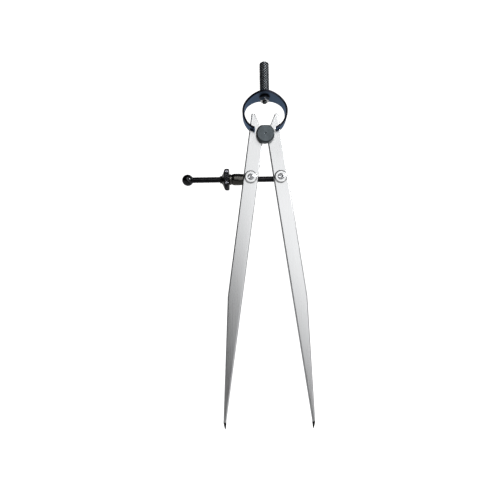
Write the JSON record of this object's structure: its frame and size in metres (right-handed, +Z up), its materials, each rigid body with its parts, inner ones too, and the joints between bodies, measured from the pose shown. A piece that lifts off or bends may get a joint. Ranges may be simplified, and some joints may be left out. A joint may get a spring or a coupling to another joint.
{
  "type": "spring divider",
  "caption": "Bow-spring divider with flat tapered steel legs, a knurled handle, and a screw with a knurled nut that sets the points.",
  "frame": {"origin": "midway between the two points, on the plane that they touch, in the middle of the legs' thickness", "axes": "+Z up through the fulcrum and the handle, +X across the legs towards the leg that holds the screw's end, +Y through the legs towards the adjusting screw"},
  "size_m": [0.0884, 0.0207, 0.2467],
  "materials": {
    "spring_oxide": "blue-black oxide on spring steel, satin",
    "handle_oxide": "black oxide over a diamond knurl",
    "handle_washer_oxide": "black oxide, satin",
    "bright_nut": "bright plated nut, darkened",
    "stud_oxide": "turned rings under grey-black oxide",
    "back_washer_oxide": "black oxide, satin",
    "leg_steel": "brushed along the leg, clear",
    "post_steel": "turned steel, riveted end spun over",
    "swivel_washer_steel": "turned steel",
    "screw_oxide": "black oxide, oiled thread",
    "ball_oxide": "polished black oxide",
    "sleeve_oxide": "polished black oxide",
    "nut_oxide": "black oxide over a knurl"
  },
  "bodies": {
    "head": {"bow_spring": "spring_oxide", "handle": "handle_oxide", "handle_washer": "handle_washer_oxide", "handle_nut": "bright_nut", "fulcrum_stud": "stud_oxide", "fulcrum_washer": "back_washer_oxide"},
    "left_leg": {"left_leg": "leg_steel"},
    "right_leg": {"right_leg": "leg_steel"},
    "left_swivel": {"left_swivel_post": "post_steel", "left_swivel_washer": "swivel_washer_steel", "thrust_sleeve": "sleeve_oxide"},
    "right_swivel": {"right_swivel_post": "post_steel", "right_swivel_washer": "swivel_washer_steel", "adjusting_screw": "screw_oxide", "ball_knob": "ball_oxide"},
    "nut": {"adjusting_nut": "nut_oxide"}
  },
  "joints": [
    {"name": "left_leg_swing", "type": "hinge", "parent": "head", "child": "left_leg", "pos_m": [0, 0, 0.19779], "axis": [0, 1, 0], "range_deg": [-8.45, 19], "deforming": ["bow_spring"]},
    {"name": "right_leg_swing", "type": "hinge", "parent": "head", "child": "right_leg", "pos_m": [0, 0, 0.19779], "axis": [0, -1, 0], "range_deg": [-8.45, 19]},
    {"name": "left_post_swivel", "type": "hinge", "parent": "left_leg", "child": "left_swivel", "pos_m": [-0.01009, 0, 0.16965], "axis": [0, -1, 0], "range_deg": [-8.45, 19]},
    {"name": "right_post_swivel", "type": "hinge", "parent": "right_leg", "child": "right_swivel", "pos_m": [0.01009, 0, 0.16965], "axis": [0, 1, 0], "range_deg": [-8.45, 19]},
    {"name": "nut_spin", "type": "hinge", "parent": "left_swivel", "child": "nut", "pos_m": [-0.02609, 0.0058, 0.16965], "axis": [-1, 0, 0], "range_deg": [-4270.1, 9600.2]}
  ],
  "couplings": [
    {"joint": "right_leg_swing", "follows": "left_leg_swing", "ratio": 1},
    {"joint": "left_post_swivel", "follows": "left_leg_swing", "ratio": 1},
    {"joint": "right_post_swivel", "follows": "left_leg_swing", "ratio": 1},
    {"joint": "nut_spin", "follows": "left_leg_swing", "ratio": 505.22}
  ]
}
